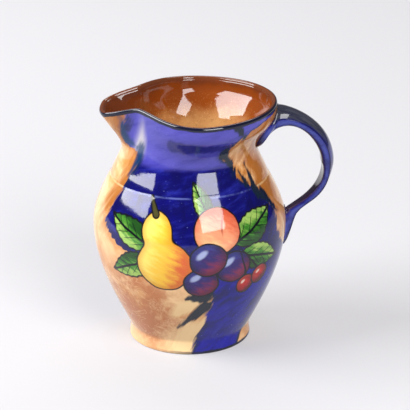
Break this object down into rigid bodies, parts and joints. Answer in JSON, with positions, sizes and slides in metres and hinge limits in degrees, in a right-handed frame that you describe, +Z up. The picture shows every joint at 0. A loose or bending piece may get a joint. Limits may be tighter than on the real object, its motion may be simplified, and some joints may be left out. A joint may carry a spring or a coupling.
{
  "type": "pouring jug",
  "caption": "Round-bellied glazed earthenware jug with a flared neck, a pinched spout, a strap handle and an amber-glazed inside, for holding and pouring liquids.",
  "frame": {"origin": "centre of the foot ring, on the table", "axes": "+Z up along the body's axis, +X towards the handle, -X towards the spout"},
  "size_m": [0.1461, 0.1174, 0.1528],
  "materials": {
    "painted_body": "gloss",
    "amber_lining": "gloss",
    "blue_handle": "gloss"
  },
  "bodies": {
    "root": {"body": "painted_body", "inner_glaze": "amber_lining", "handle": "blue_handle", "upper_handle_lute": "blue_handle", "lower_handle_lute": "blue_handle"}
  },
  "joints": []
}
